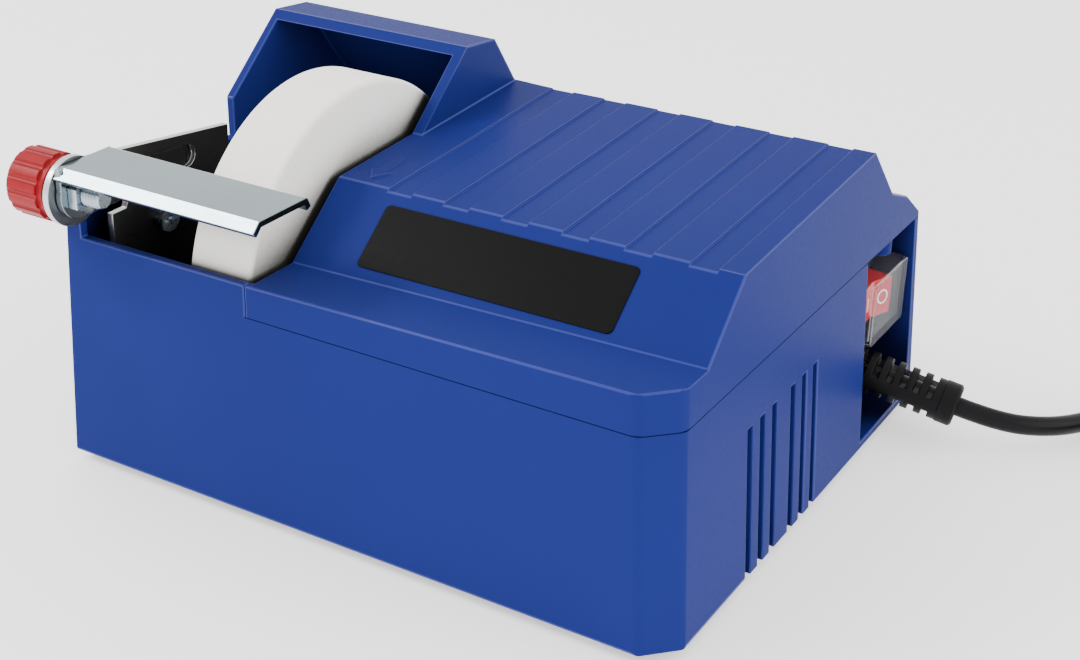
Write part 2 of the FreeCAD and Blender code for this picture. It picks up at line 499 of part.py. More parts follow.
# ---------------------------------------------------------------- tool rest
za, t = REST_TOP, REST_T
front = [(-8.2, za), (-10.75, za - 2.55), (-10.75 + t * 0.707, za - 2.55 - t * 0.707), (-8.2 + 0.41 * t, za - t)]
c65, s65 = math.cos(math.radians(65)), math.sin(math.radians(65))
lip_end = (10.3 + 3.1 * c65, za - 3.1 * s65)
lip_in = (lip_end[0] - t * s65, lip_end[1] - t * c65)
prof = [front[1], front[2], front[3], (10.3 - t * math.tan(math.radians(32.5)), za - t), lip_in, lip_end, (10.3, za), front[0]]
rest = prism_x(prof, REST_X0, REST_X1)
ear = prism_x([(STUD_Y - 6.6, za - 0.2), (STUD_Y - 6.6, za - 4.6), (STUD_Y - 6.2, STUD_Z), (STUD_Y + 6.2, STUD_Z), (STUD_Y + 10.5, za - 4.0), (STUD_Y + 11.5, za - 0.2)],
              REST_X0, REST_X0 + t)
ear = ear.fuse(cyl_x(STUD_Y, STUD_Z, 6.9, REST_X0, REST_X0 + t))
rest = fuse(rest, ear)
rest = cut(rest, cyl_x(STUD_Y, STUD_Z, 3.05, 0, 30))
keep("tool_rest", rest)
wn = prism_x([(STUD_Y + a, STUD_Z + c) for a, c in hexagon(9.4)], REST_X0 + t, REST_X0 + t + 3.0)
keep("rest_nut", cut(wn, cyl_x(STUD_Y, STUD_Z, 3.03, 0, 30)))
SLOT_END = (39.5, 79.2)
arm = prism_x([(STUD_Y, 75.0), (22.0, 75.0), (22.0, 74.0), (15.2, 74.0), (14.4, 72.2), (9.0, 72.2), (9.0, 46.0), (15.0, 40.0), (54.0, 40.0), (57.0, 43.0),
               (57.0, 83.4), (2.4, 90.4), (STUD_Y, 90.4)], BR_X0, BR_X1)
arm = fuse(arm, cyl_x(STUD_Y, STUD_Z, 9.4, BR_X0, BR_X1))
sd = V(0, SLOT_END[0] - STUD_Y, SLOT_END[1] - STUD_Z)
su = sd * (1.0 / sd.Length)
sn = V(0, -su.z, su.y)
st = V(0, STUD_Y, STUD_Z)
en = V(0, SLOT_END[0], SLOT_END[1])
mid = st + su * 3.2              # the slot goes through as far as the stud travels, the rest is a blind groove


def slot_yz(a, c, x0):
    q = [a + sn * 3.2, a - sn * 3.2, c - sn * 3.2, c + sn * 3.2]
    return fuse(prism_x([(k.y, k.z) for k in q], x0, 30), cyl_x(a.y, a.z, 3.2, x0, 30), cyl_x(c.y, c.z, 3.2, x0, 30))


arm = cut(arm, slot_yz(st, mid, 0), slot_yz(st, en, BR_X0 + 0.6), cyl_x(28.6, 64.5, 2.3, 0, 30), cyl_x(48.0, 50.0, 2.3, 0, 30))
keep("rest_bracket", arm)
keep("bracket_screws", Part.makeCompound([screw_x(y, z, BR_X1, 6.6, 3.6, 1.95, -1.0, 2.2).cut(
    [box(BR_X1 + 1.2, BR_X1 + 3, y - 2.4, y + 2.4, z - 0.5, z + 0.5), box(BR_X1 + 1.2, BR_X1 + 3, y - 0.5, y + 0.5, z - 2.4, z + 2.4)])
    for y, z in ((28.6, 64.5), (48.0, 50.0))]))
keep("rest_washer", cyl_x(STUD_Y, STUD_Z, 7.6, KNOB_X1 + GAP, BR_X0 - GAP).cut(cyl_x(STUD_Y, STUD_Z, 3.06, 0, 30)))
keep("clamp_stud", cyl_x(STUD_Y, STUD_Z, 3.0, KNOB_X1 - 8.0, 24.5))
kb = revolve_x([(KNOB_X0, 0.01), (KNOB_X0, KNOB_R - 1.6), (KNOB_X0 + 1.4, KNOB_R), (KNOB_X1 - 1.8, KNOB_R), (KNOB_X1 - 1.8, KNOB_R - 0.9), (KNOB_X1, KNOB_R - 0.9), (KNOB_X1, 0.01)], STUD_Y, STUD_Z)
kb = kb.fuse(cyl_x(STUD_Y, STUD_Z, 1.0, KNOB_X0, KNOB_X1)).removeSplitter()
gr = []
for i in range(14):
    a = 2 * math.pi * i / 14
    gr.append(cyl_x(STUD_Y + (KNOB_R + 0.55) * math.cos(a), STUD_Z + (KNOB_R + 0.55) * math.sin(a), 1.15, KNOB_X0 - 1, KNOB_X1 - 1.8))
kb = cut(kb, cyl_x(STUD_Y, STUD_Z, 3.0, KNOB_X1 - 8.0, KNOB_X1 + 1), *gr)
keep("clamp_knob", kb)

# ---------------------------------------------------------------- switch
PX = 174.4                       # rocker pivot
sb = fuse(box(158.0, POCKET_X + 0.9, SW_Y - 9.5, SW_Y + 9.5, SW_Z - 7.0, SW_Z + 7.0), box(POCKET_X + 0.9, 176.0, SW_Y - 10.6, SW_Y + 10.6, SW_Z - 8.2, SW_Z + 8.2))
sb = cut(sb, box(170.2, 190, SW_Y - 8.6, SW_Y + 8.6, SW_Z - 6.2, SW_Z + 6.2), cyl_z(PX, SW_Y, 1.05, SW_Z - 7.1, SW_Z + 7.1))
sb = fuse(sb, box(152.0, 158.2, SW_Y - 3.6, SW_Y - 2.8, SW_Z - 2.4, SW_Z + 2.4), box(152.0, 158.2, SW_Y + 2.8, SW_Y + 3.6, SW_Z - 2.4, SW_Z + 2.4))
keep("switch_body", sb)
rk = prism_z([(PX - 2.2, SW_Y - 4.0), (PX - 2.2, SW_Y + 4.0), (PX - 0.4, SW_Y + 7.6), (PX + 7.9, SW_Y + 7.6), (PX + 6.1, SW_Y), (PX + 7.9, SW_Y - 7.6), (PX - 0.4, SW_Y - 7.6)],
             SW_Z - 5.9, SW_Z + 5.9)
rk = fuse(rk, cyl_z(PX, SW_Y, 1.0, SW_Z - 6.9, SW_Z + 6.9))
rk.rotate(V(PX, SW_Y, SW_Z), V(0, 0, 1), -10.0)
keep("switch_rocker", rk)


def rect_yz(hy, hz):
    return [(SW_Y - hy, SW_Z - hz), (SW_Y + hy, SW_Z - hz), (SW_Y + hy, SW_Z + hz), (SW_Y - hy, SW_Z + hz)]


def taper_x(pa, xa, pb, xb):
    a = [V(xa, p[0], p[1]) for p in pa]
    c = [V(xb, p[0], p[1]) for p in pb]
    return Part.makeLoft([Part.makePolygon(a + [a[0]]), Part.makePolygon(c + [c[0]])], True, True)


bo = taper_x(rect_yz(14.2, 11.2), POCKET_X, rect_yz(13.2, 9.8), 185.2)
bo = bo.makeFillet(1.2, [e for e in bo.Edges if abs(e.tangentAt(e.FirstParameter).x) > 0.9])
bi = taper_x(rect_yz(12.9, 9.9), POCKET_X + 0.9, rect_yz(12.0, 8.6), 184.0)
boot = bo.fuse(box(POCKET_X, POCKET_X + 0.9, SW_Y - 15.2, SW_Y + 15.2, SW_Z - 12.2, SW_Z + 12.2)).cut(bi)
boot = cut(boot, box(POCKET_X - 1, POCKET_X + 1.2, SW_Y - 9.5, SW_Y + 9.5, SW_Z - 7.0, SW_Z + 7.0))
keep("switch_boot", boot)

# ---------------------------------------------------------------- strain relief
end = V(*LEAD[0])
a0 = V(*SR_A)
axis = end - a0
SRL = axis.Length


def ring(r0, r1, s0, s1):
    return Part.makeCone(r0, r1, s1 - s0, V(s0, 0, 0), V(1, 0, 0)) if abs(r0 - r1) > 1e-6 else Part.makeCylinder(r0, s1 - s0, V(s0, 0, 0), V(1, 0, 0))


sr = ring(5.15, 5.15, -5.1, 2.1).multiFuse([ring(7.0, 7.0, -7.0, -5.0), ring(6.9, 6.6, 2.0, 3.6), ring(6.4, 6.15, 3.0, SRL - 4.8), ring(6.4, 6.4, SRL - 5.0, SRL - 0.7), ring(6.4, 5.7, SRL - 0.7, SRL)])
sl_cut = []
n_sl = 7
p0, pitch = 5.4, 4.1
for i in range(n_sl):
    s = p0 + pitch * i
    for sg in (1, -1):
        if s + 2.0 < SRL - 5.6:
            sl_cut.append(Part.makeBox(2.0, 16, 5.8, V(s, -8, 2.2 if sg > 0 else -8.0)))
sr = cut(sr, *(sl_cut + [ring(D_CORD / 2, D_CORD / 2, -10, SRL + 2)]))
keep("strain_relief", place(sr, SR_A, (axis.x, axis.y, axis.z)))

# ---------------------------------------------------------------- cord and plug
u0 = axis * (1.0 / SRL)
inside = V(*LEAD[0]) - u0 * (SRL + 7.5)
core = Part.makeCylinder(D_CORD / 2, SRL + 7.5, inside, u0)
lead = tube(LEAD, D_CORD / 2, "cord_lead")
tail = tube(TAIL, D_CORD / 2, "cord_tail")
keep("cord_lead", lead)
keep("cord_inner_end", core)
r_in, r_out = COIL_RADII[0] - D_CORD / 2, COIL_RADII[-1] + D_CORD / 2
coil = cyl_z(COIL_C[0], COIL_C[1], r_out, COIL_Z0, COIL_Z0 + 2 * D_CORD).cut(cyl_z(COIL_C[0], COIL_C[1], r_in, -10, 30))
keep("cord_coil", cut(coil, lead, tail))
keep("cord_tail", tail)
turns = 2 * sum(2 * math.pi * r for r in COIL_RADII)
print("coil length %.1f" % turns)
rm = (r_in + r_out) / 2.0
tie = box(r_in - 1.2, r_out + 1.2, -4.0, 4.0, COIL_Z0 - 1.2, COIL_Z0 + 2 * D_CORD + 1.2).cut(box(r_in, r_out, -5, 5, COIL_Z0, COIL_Z0 + 2 * D_CORD))
tie.rotate(V(0, 0, 0), V(0, 0, 1), 235.0)
tie.translate(V(COIL_C[0], COIL_C[1], 0))
keep("coil_tie", tie.cut(coil))
px, py, pz = TAIL[-1]
pts = [(px - 13.2, py - 35.0), (px + 13.2, py - 35.0), (px + 13.2, py - 21.0), (px + 8.0, py - 8.0), (px + 5.0, py - 2.0), (px + 4.6, py), (px - 4.6, py), (px - 5.0, py - 2.0), (px - 8.0, py - 8.0), (px - 13.2, py - 21.0)]
plug = prism_z(pts, pz - 6.85, pz + 6.85)
plug = plug.makeFillet(1.5, [e for e in plug.Edges if abs(e.tangentAt(e.FirstParameter).z) < 0.1])
keep("plug_body", plug.cut(tail))
pins = []
for sx in (-9.5, 9.5):
    c = cyl_y(px + sx, pz, 2.0, py - 54.0, py - 35.0)
    pins.append(c.makeFillet(1.2, [e for e in c.Edges if abs(e.CenterOfMass.y - (py - 54.0)) < 0.01 and e.Length > 10]))
keep("plug_pins", Part.makeCompound(pins))

# ---------------------------------------------------------------- export
total = FreeCAD.BoundBox()
for name in sorted(parts):
    s = parts[name].copy()
    s.translate(SHIFT)
    if not name.startswith(("cord_", "coil_", "plug_", "strain_")):
        total.add(s.BoundBox)
    ok = s.isValid() and all(q.isClosed() for q in s.Shells) and len(s.Solids) >= 1
    print("%-22s solids %d valid %s vol %.0f" % (name, len(s.Solids), ok, s.Volume))
    s.exportStep("parts/" + name + ".step")
print("box", [round(q, 3) for q in (total.XMin, total.XMax, total.YMin, total.YMax, total.ZMin, total.ZMax)])
print("shift", SHIFT)
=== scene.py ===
import bpy
import bmesh
import math
from mathutils import Matrix, Vector


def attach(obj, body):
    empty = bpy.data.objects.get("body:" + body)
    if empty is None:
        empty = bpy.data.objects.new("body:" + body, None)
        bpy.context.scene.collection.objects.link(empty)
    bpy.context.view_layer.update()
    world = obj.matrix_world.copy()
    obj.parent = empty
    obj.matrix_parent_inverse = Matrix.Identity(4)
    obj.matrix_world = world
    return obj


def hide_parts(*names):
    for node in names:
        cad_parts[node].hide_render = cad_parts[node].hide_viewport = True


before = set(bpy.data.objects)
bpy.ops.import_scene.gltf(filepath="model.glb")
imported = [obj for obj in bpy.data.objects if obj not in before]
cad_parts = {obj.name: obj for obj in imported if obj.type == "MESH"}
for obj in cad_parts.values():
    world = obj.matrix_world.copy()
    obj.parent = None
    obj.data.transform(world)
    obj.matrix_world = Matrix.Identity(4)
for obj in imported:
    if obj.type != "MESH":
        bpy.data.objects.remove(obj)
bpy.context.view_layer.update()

SX, SY, SZ = -93.205, -74.715, 3.0          # row frame = working frame + this, mm


def P(x, y, z):
    return Vector(((x + SX) / 1000.0, (y + SY) / 1000.0, (z + SZ) / 1000.0))


# ------------------------------------------------------------------ camera
cam_data = bpy.data.cameras.new("camera")
cam = bpy.data.objects.new("camera", cam_data)
bpy.context.scene.collection.objects.link(cam)
right = Vector((0.8575102966, 0.5141328244, 0.0185345626))
down = Vector((0.2433114912, -0.3735439310, -0.8951337609))
fwd = Vector((-0.4532941754, 0.7720960888, -0.4454121913))
rot = Matrix((right, -down, -fwd)).transposed()
cam.matrix_world = Matrix.Translation(P(328.45510604, -300.75255860, 252.53204964)) @ rot.to_4x4()
cam_data.sensor_fit = "HORIZONTAL"
cam_data.sensor_width = 36.0
cam_data.lens = 57.889
cam_data.clip_start = 0.01
cam_data.clip_end = 50.0
bpy.context.scene.camera = cam

# ------------------------------------------------------------------ cord: one smooth line, exit to plug
LEAD = [(208.70, 144.40, 9.40), (220.80, 146.10, 6.90), (232.70, 153.30, 5.40), (241.00, 165.30, 3.90),
        (246.00, 180.30, 2.40), (255.60, 194.10, 1.20), (269.80, 203.90, 1.05), (286.50, 211.50, 1.10)]
TAIL = [(345.70, 169.60, 6.90), (344.40, 154.60, 6.60), (344.10, 139.40, 4.90), (344.60, 124.40, 3.85)]
COIL_C = (303.90, 173.30)
COIL_R = (42.0, 36.2, 30.4, 24.6)
D_CORD = 5.8
PER = 16
SWELL = 1.0 / math.cos(math.pi / PER)


def coil_points():
    # eight turns: inwards on the lower layer, outwards on the upper one, turning clockwise seen from above
    a0 = math.degrees(math.atan2(LEAD[-1][1] - COIL_C[1], LEAD[-1][0] - COIL_C[0]))
    a1 = math.degrees(math.atan2(TAIL[0][1] - COIL_C[1], TAIL[0][0] - COIL_C[0]))
    z_lo, z_hi = 1.10, 6.90
    turns = 9
    sweep = 360.0 * (turns - 1) + ((a0 - a1) % 360.0)
    n = int(round(sweep / 360.0 * PER))
    pts = []
    r_lo = list(COIL_R)
    rings = r_lo + r_lo[::-1]
    for k in range(1, n):
        t = k / n * sweep
        a = math.radians(a0 - t)
        u = t / sweep * len(rings)
        i = min(int(u), len(rings) - 1)
        f = u - i
        r = rings[i]
        # step to the next ring in the last fifth of each turn
        if f > 0.8 and i < len(rings) - 1:
            w = (f - 0.8) / 0.2
            w = w * w * (3 - 2 * w)
            r = rings[i] + (rings[i + 1] - rings[i]) * w
        z = z_lo
        if u > 3.8:
            w = min(1.0, (u - 3.8) / 0.2)
            z = z_lo + (z_hi - z_lo) * w * w * (3 - 2 * w)
        pts.append((COIL_C[0] + r * SWELL * math.cos(a), COIL_C[1] + r * SWELL * math.sin(a), z))
    return pts


route = [P(*q) for q in LEAD] + [P(*q) for q in coil_points()] + [P(*q) for q in TAIL]
cu = bpy.data.curves.new("mains_lead", "CURVE")
cu.dimensions = "3D"
sp = cu.splines.new("NURBS")
sp.points.add(len(route) - 1)
for q, v in zip(sp.points, route):
    q.co = (v.x, v.y, v.z, 1.0)
    q.radius = D_CORD / 2000.0
sp.order_u = 3
sp.use_endpoint_u = True
sp.resolution_u = 6
cu.bevel_depth = 1.0
cu.bevel_resolution = 5
cu.use_fill_caps = True
lead = bpy.data.objects.new("mains_lead", cu)
bpy.context.scene.collection.objects.link(lead)
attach(lead, "housing")
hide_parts("cord_lead", "cord_coil", "cord_tail")


# ------------------------------------------------------------------ material helpers
class Mat:
    def __init__(self, name, color, rough=0.4, metal=0.0, spec=0.5):
        self.m = bpy.data.materials.new(name)
        self.m.use_nodes = True
        self.t = self.m.node_tree
        self.n = self.t.nodes
        self.b = self.n["Principled BSDF"]
        self.b.inputs["Base Color"].default_value = (*color, 1.0)
        self.b.inputs["Roughness"].default_value = rough
        self.b.inputs["Metallic"].default_value = metal
        self.b.inputs["Specular IOR Level"].default_value = spec
        self.coord = self.n.new("ShaderNodeTexCoord")

    def link(self, a, b):
        self.t.links.new(a, b)

    def noise(self, scale, detail=4.0, rough=0.55, stretch=None, src=None):
        nz = self.n.new("ShaderNodeTexNoise")
        nz.inputs["Scale"].default_value = scale
        nz.inputs["Detail"].default_value = detail
        nz.inputs["Roughness"].default_value = rough
        s = src or self.coord.outputs["Object"]
        if stretch:
            mp = self.n.new("ShaderNodeMapping")
            mp.inputs["Scale"].default_value = stretch
            self.link(s, mp.inputs["Vector"])
            s = mp.outputs["Vector"]
        self.link(s, nz.inputs["Vector"])
        return nz.outputs["Fac"]

    def ramp(self, fac, stops):
        r = self.n.new("ShaderNodeValToRGB")
        e = r.color_ramp.elements
        e[0].position, e[0].color = stops[0][0], (*stops[0][1], 1.0)
        e[1].position, e[1].color = stops[-1][0], (*stops[-1][1], 1.0)
        for p, c in stops[1:-1]:
            k = e.new(p)
            k.color = (*c, 1.0)
        self.link(fac, r.inputs["Fac"])
        return r.outputs["Color"]

    def spread(self, fac, lo, hi):
        mr = self.n.new("ShaderNodeMapRange")
        mr.inputs["From Min"].default_value = 0.3
        mr.inputs["From Max"].default_value = 0.7
        mr.inputs["To Min"].default_value = lo
        mr.inputs["To Max"].default_value = hi
        self.link(fac, mr.inputs["Value"])
        return mr.outputs["Result"]

    def color(self, out):
        self.link(out, self.b.inputs["Base Color"])

    def roughness(self, out):
        self.link(out, self.b.inputs["Roughness"])

    def bump(self, height, strength, dist=0.0002, prev=None):
        bp = self.n.new("ShaderNodeBump")
        bp.inputs["Strength"].default_value = strength
        bp.inputs["Distance"].default_value = dist
        self.link(height, bp.inputs["Height"])
        if prev:
            self.link(prev, bp.inputs["Normal"])
        self.link(bp.outputs["Normal"], self.b.inputs["Normal"])
        return bp.outputs["Normal"]


def mix(c, k):
    return tuple(max(0.0, min(1.0, q * k)) for q in c)


# ------------------------------------------------------------------ materials
BLUE = (0.0108, 0.0178, 0.1310)


def make_blue(name, k, r0, r1, spec, deep=False):
    c = mix(BLUE, k)
    m = Mat(name, c, r0, 0.0, spec)
    big = m.noise(14.0, 3.0)
    tone = m.ramp(big, [(0.25, mix(c, 0.95)), (0.75, mix(c, 1.06))])
    if deep:
        # painted shade: ambient occlusion darkens deep recesses
        ao = m.n.new("ShaderNodeAmbientOcclusion")
        ao.samples = 10
        ao.inputs["Distance"].default_value = 0.034
        painted_recess_shade = m.ramp(ao.outputs["AO"], [(0.20, (0.22, 0.16, 0.12)), (0.50, (1.0, 1.0, 1.0))])
        mx = m.n.new("ShaderNodeMix")
        mx.data_type = "RGBA"
        mx.blend_type = "MULTIPLY"
        mx.inputs["Factor"].default_value = 1.0
        m.link(tone, mx.inputs["A"])
        m.link(painted_recess_shade, mx.inputs["B"])
        tone = mx.outputs["Result"]
    m.color(tone)
    fine = m.noise(900.0, 3.0)
    m.roughness(m.spread(fine, r0, r1))
    grain = m.noise(2600.0, 2.0)
    m.bump(grain, 0.05, 0.0001)
    return m.m


# the housing blue carries the painted recess shade
mat_blue = make_blue("blue_moulding", 1.0, 0.38, 0.46, 0.028, True)
# painted highlight: a lighter, glossier copy of the blue for the rounded edge faces
mat_blue_edge_highlight = make_blue("blue_moulding_edge_highlight", 1.45, 0.28, 0.36, 0.22)
# painted shade: a very dark copy of the blue for the faces in the joint between base and cover
mat_blue_seam_shade = make_blue("blue_moulding_seam_shade", 0.25, 0.6, 0.7, 0.02)


def make_plain(name, color, r0, r1, scale=700.0, vary=0.08, bump=0.08, spec=0.5):
    m = Mat(name, color, r0, 0.0, spec)
    m.color(m.ramp(m.noise(40.0, 4.0), [(0.3, mix(color, 1.0 - vary)), (0.7, mix(color, 1.0 + vary))]))
    m.roughness(m.spread(m.noise(scale, 3.0), r0, r1))
    m.bump(m.noise(scale * 2.0, 2.0), bump, 0.0001)
    return m.m


mat_black = make_plain("black_moulding", (0.0035, 0.0035, 0.0040), 0.38, 0.5, 700.0, 0.08, 0.08, 0.12)
mat_pvc = make_plain("black_pvc", (0.0032, 0.0032, 0.0040), 0.30, 0.40, 900.0, 0.1, 0.06, 0.14)
mat_rubber = make_plain("black_rubber", (0.018, 0.018, 0.018), 0.65, 0.8, 600.0, 0.12, 0.2, 0.3)
mat_label = make_plain("bare_plate", (0.0022, 0.0022, 0.0026), 0.34, 0.44, 500.0, 0.1, 0.03, 0.06)
mat_nylon = make_plain("natural_nylon", (0.72, 0.70, 0.62), 0.4, 0.5, 500.0, 0.04, 0.05)


def make_red(name):
    c = (0.25, 0.006, 0.010)
    m = Mat(name, c, 0.34, 0.0, 0.14)
    m.color(m.ramp(m.noise(160.0, 4.0), [(0.3, mix(c, 0.9)), (0.7, mix(c, 1.08))]))
    m.roughness(m.spread(m.noise(800.0, 3.0), 0.3, 0.42))
    m.bump(m.noise(1800.0, 2.0), 0.06, 0.0001)
    m.b.inputs["Subsurface Weight"].default_value = 0.05
    m.b.inputs["Subsurface Radius"].default_value = (0.002, 0.0006, 0.0005)
    m.b.inputs["Subsurface Scale"].default_value = 0.5
    return m.m


mat_red = make_red("red_moulding")


def make_lens(name):
    c = (0.56, 0.006, 0.012)
    m = Mat(name, c, 0.2, 0.0, 0.3)
    m.color(m.ramp(m.noise(120.0, 3.0), [(0.3, mix(c, 0.92)), (0.7, mix(c, 1.05))]))
    m.bump(m.noise(700.0, 2.0), 0.03, 0.0001)
    m.b.inputs["Coat Weight"].default_value = 0.5
    m.b.inputs["Coat Roughness"].default_value = 0.08
    return m.m


mat_lens = make_lens("red_rocker")


def make_clear(name):
    # the wall seen edge-on is clear, the front face is milky and its slanted edge faces are made more opaque as a
    # painted highlight
    m = Mat(name, (0.50, 0.51, 0.55), 0.10, 0.0, 0.4)
    sep = m.n.new("ShaderNodeSeparateXYZ")
    m.link(m.coord.outputs["Normal"], sep.inputs["Vector"])
    ab = m.n.new("ShaderNodeMath")
    ab.operation = "ABSOLUTE"
    m.link(sep.outputs["X"], ab.inputs[0])
    haze_and_edge_glint = m.ramp(ab.outputs["Value"], [(0.20, (0.03, 0.03, 0.03)), (0.42, (0.42, 0.42, 0.42)), (0.90, (0.42, 0.42, 0.42)), (0.99, (0.10, 0.10, 0.10))])
    m.link(haze_and_edge_glint, m.b.inputs["Alpha"])
    m.roughness(m.spread(m.noise(90.0, 3.0), 0.08, 0.18))
    m.bump(m.noise(260.0, 2.0), 0.02, 0.0002)
    return m.m


mat_clear = make_clear("clear_boot")


def make_stone(name):
    c = (0.84, 0.80, 0.71)
    m = Mat(name, c, 0.85, 0.0, 0.25)
    cloud = m.noise(60.0, 5.0, 0.6)
    base = m.ramp(cloud, [(0.25, (0.945, 0.91, 0.83)), (0.5, (0.965, 0.94, 0.87)), (0.8, (0.98, 0.96, 0.91))])
    speck = m.noise(1500.0, 3.0, 0.7)
    sp_col = m.ramp(speck, [(0.28, (0.86, 0.85, 0.81)), (0.42, (1.0, 1.0, 1.0))])
    mx = m.n.new("ShaderNodeMix")
    mx.data_type = "RGBA"
    mx.blend_type = "MULTIPLY"
    mx.inputs["Factor"].default_value = 0.6
    m.link(base, mx.inputs["A"])
    m.link(sp_col, mx.inputs["B"])
    # painted shade: ambient occlusion darkens the stone where it runs close to the housing, the shadow in the gap
    ao = m.n.new("ShaderNodeAmbientOcclusion")
    ao.samples = 12
    ao.inputs["Distance"].default_value = 0.021
    painted_gap_shade = m.ramp(ao.outputs["AO"], [(0.40, (0.012, 0.012, 0.012)), (0.56, (0.42, 0.42, 0.41)), (0.74, (1.0, 1.0, 1.0))])
    gap_shade_mix = m.n.new("ShaderNodeMix")
    gap_shade_mix.data_type = "RGBA"
    gap_shade_mix.blend_type = "MULTIPLY"
    gap_shade_mix.inputs["Factor"].default_value = 1.0
    m.link(mx.outputs["Result"], gap_shade_mix.inputs["A"])
    m.link(painted_gap_shade, gap_shade_mix.inputs["B"])
    m.color(gap_shade_mix.outputs["Result"])
    m.roughness(m.spread(m.noise(1800.0, 3.0), 0.78, 0.95))
    n1 = m.bump(m.noise(1400.0, 4.0, 0.7), 0.25, 0.0003)
    m.bump(m.noise(220.0, 3.0), 0.12, 0.0004, n1)
    return m.m


mat_stone = make_stone("abrasive")


def make_zinc(name, c=(0.66, 0.70, 0.73), r0=0.2, r1=0.36, stretch=(6.0, 60.0, 60.0)):
    m = Mat(name, c, 0.28, 1.0, 0.5)
    tone = m.noise(30.0, 4.0)
    m.color(m.ramp(tone, [(0.3, mix(c, 0.92)), (0.55, c), (0.75, (c[0] * 1.05, c[1] * 1.04, c[2] * 1.0))]))
    streak = m.noise(16.0, 5.0, 0.6, stretch)
    m.roughness(m.spread(streak, r0, r1))
    m.bump(streak, 0.05, 0.0001)
    return m.m


mat_zinc = make_zinc("zinc_plate", (0.235, 0.285, 0.305), 0.12, 0.22)
mat_zinc_nut = make_zinc("zinc_fastener", (0.40, 0.46, 0.52), 0.2, 0.34, (40.0, 40.0, 40.0))
mat_steel = make_zinc("machined_steel", (0.55, 0.56, 0.58), 0.22, 0.36, (30.0, 30.0, 30.0))
mat_lam = make_zinc("electrical_sheet", (0.22, 0.22, 0.23), 0.4, 0.55, (400.0, 8.0, 8.0))
mat_copper = make_zinc("copper_wire", (0.72, 0.32, 0.16), 0.25, 0.4, (300.0, 20.0, 20.0))
mat_bronze = make_zinc("sintered_bronze", (0.55, 0.38, 0.18), 0.35, 0.5, (90.0, 90.0, 90.0))


def make_bracket(name):
    # dull dark faces, with painted light making them greyer toward the open front end and painted shade toward the
    # rear; the edge faces carry a painted highlight
    m = Mat(name, (0.03, 0.03, 0.032), 0.4, 1.0, 0.5)
    sep = m.n.new("ShaderNodeSeparateXYZ")
    m.link(m.coord.outputs["Normal"], sep.inputs["Vector"])
    ab = m.n.new("ShaderNodeMath")
    ab.operation = "ABSOLUTE"
    m.link(sep.outputs["X"], ab.inputs[0])
    pos = m.n.new("ShaderNodeSeparateXYZ")
    m.link(m.coord.outputs["Object"], pos.inputs["Vector"])
    run = m.n.new("ShaderNodeMapRange")
    run.inputs["From Min"].default_value = (-12.0 + SY) / 1000.0
    run.inputs["From Max"].default_value = (26.0 + SY) / 1000.0
    m.link(pos.outputs["Y"], run.inputs["Value"])
    # painted light: lighter toward the open front end, painted shade toward the rear
    face = m.ramp(run.outputs["Result"], [(0.0, (0.26, 0.27, 0.28)), (0.34, (0.13, 0.135, 0.14)), (0.62, (0.045, 0.046, 0.048)), (1.0, (0.022, 0.022, 0.024))])
    mx = m.n.new("ShaderNodeMix")
    mx.data_type = "RGBA"
    # painted highlight: the edge faces, whose normals lie off the X axis, take a light grey
    mx.inputs["A"].default_value = (0.55, 0.58, 0.60, 1.0)
    m.link(m.ramp(ab.outputs["Value"], [(0.62, (0.0, 0.0, 0.0)), (0.92, (1.0, 1.0, 1.0))]), mx.inputs["Factor"])
    m.link(face, mx.inputs["B"])
    m.color(mx.outputs["Result"])
    streak = m.noise(16.0, 5.0, 0.6, (60.0, 8.0, 60.0))
    m.roughness(m.spread(streak, 0.26, 0.4))
    m.bump(streak, 0.05, 0.0001)
    return m.m


mat_bracket = make_bracket("bracket_plate")


# ------------------------------------------------------------------ mesh helpers
def link_obj(name, me, body, slot, mat, *nodes):
    o = bpy.data.objects.new(name, me)
    bpy.context.scene.collection.objects.link(o)
    me.materials.clear()
    me.materials.append(mat)
    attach(o, body)
    if nodes:
        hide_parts(*nodes)
    return o


